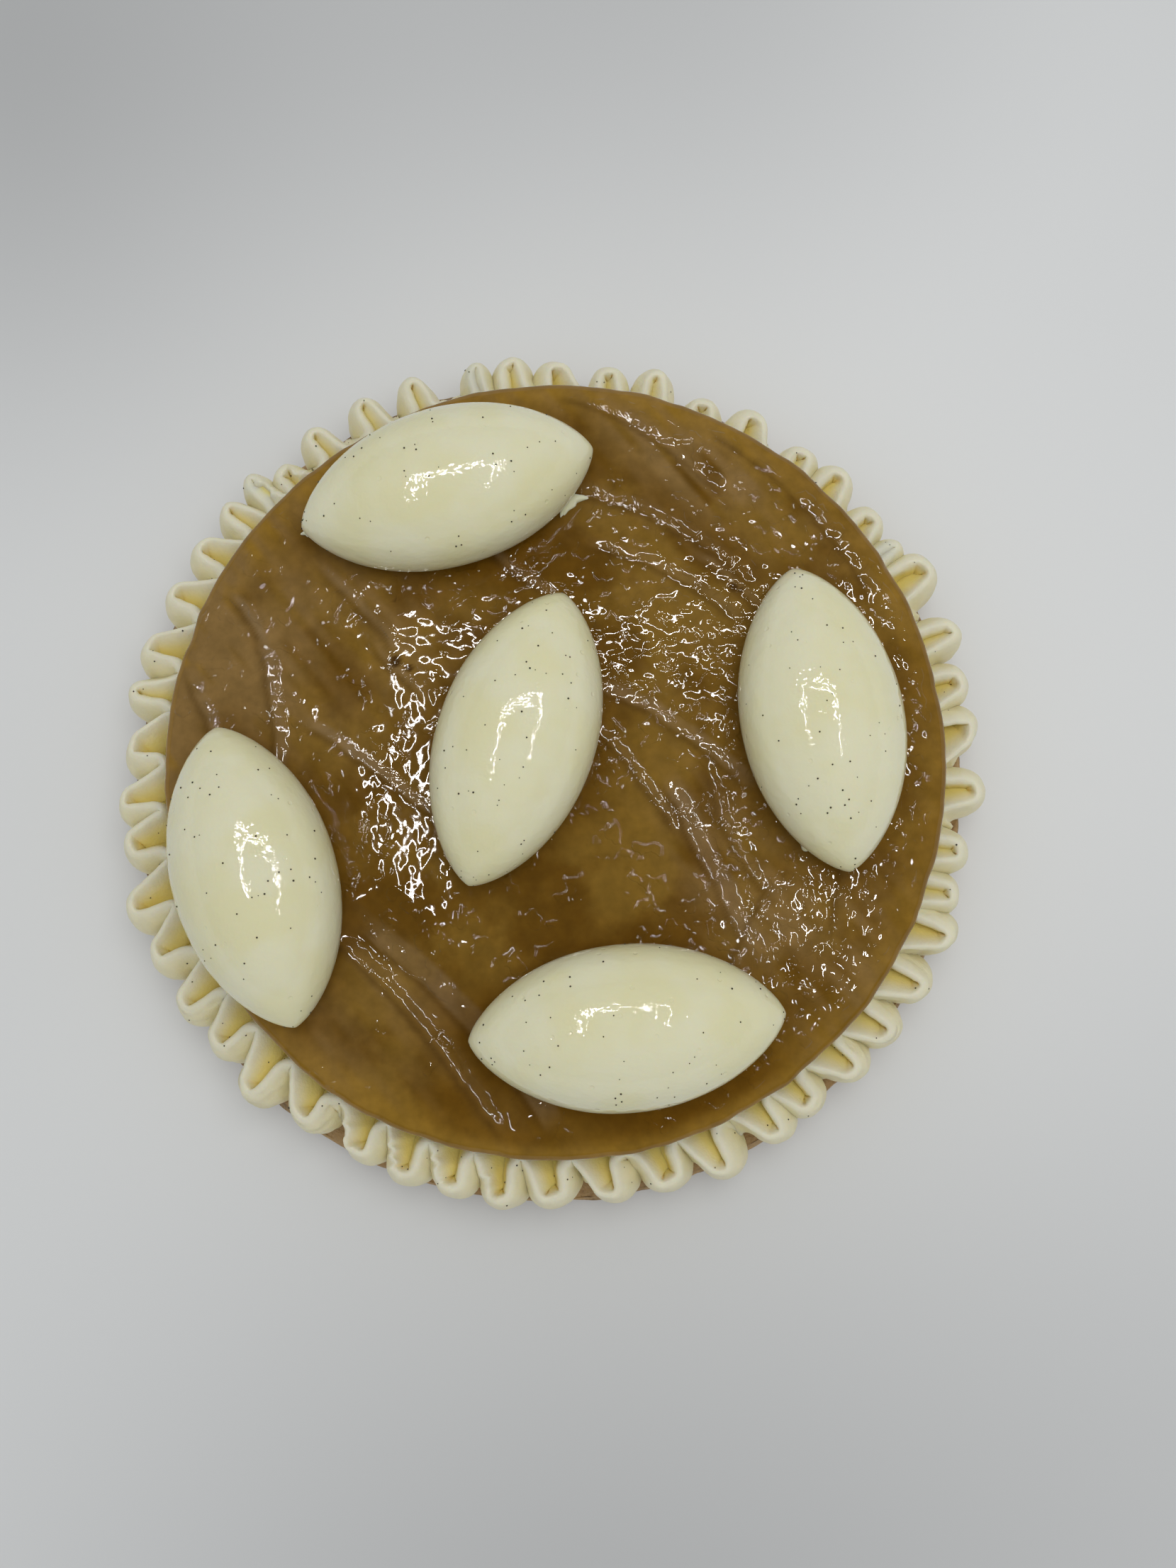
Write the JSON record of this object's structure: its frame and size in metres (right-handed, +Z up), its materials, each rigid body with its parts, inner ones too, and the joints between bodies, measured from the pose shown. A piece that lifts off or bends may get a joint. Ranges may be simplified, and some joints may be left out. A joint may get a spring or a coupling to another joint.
{
  "type": "tarte tatin",
  "caption": "Round apple tart: a glossy caramel apple disc on a thin pastry base, ringed by piped vanilla cream loops and topped with moulded cream quenelles.",
  "frame": {"origin": "centre of the underside of the pastry base, at the bottom centre of the bounding box", "axes": "+Z up through the tart; +X to the right and +Y away, as the tart is seen from above with the front quenelle nearest"},
  "size_m": [0.2345, 0.2331, 0.0656],
  "materials": {
    "pastry": "baked brown pastry, dry and matt, with flaky layers at its cut edge",
    "caramel_apple": "translucent caramelised apple under a wet, finely wrinkled glaze",
    "piped_cream": "satin vanilla cream with fine dark vanilla seeds",
    "quenelle_cream": "smooth glossy pale vanilla cream with fine dark vanilla seeds"
  },
  "bodies": {
    "root": {"pastry_base": "pastry", "apple_disc": "caramel_apple", "piped_border": "piped_cream", "quenelle_centre": "quenelle_cream", "quenelle_right": "quenelle_cream", "quenelle_front": "quenelle_cream", "quenelle_left": "quenelle_cream", "quenelle_back": "quenelle_cream"}
  },
  "joints": []
}
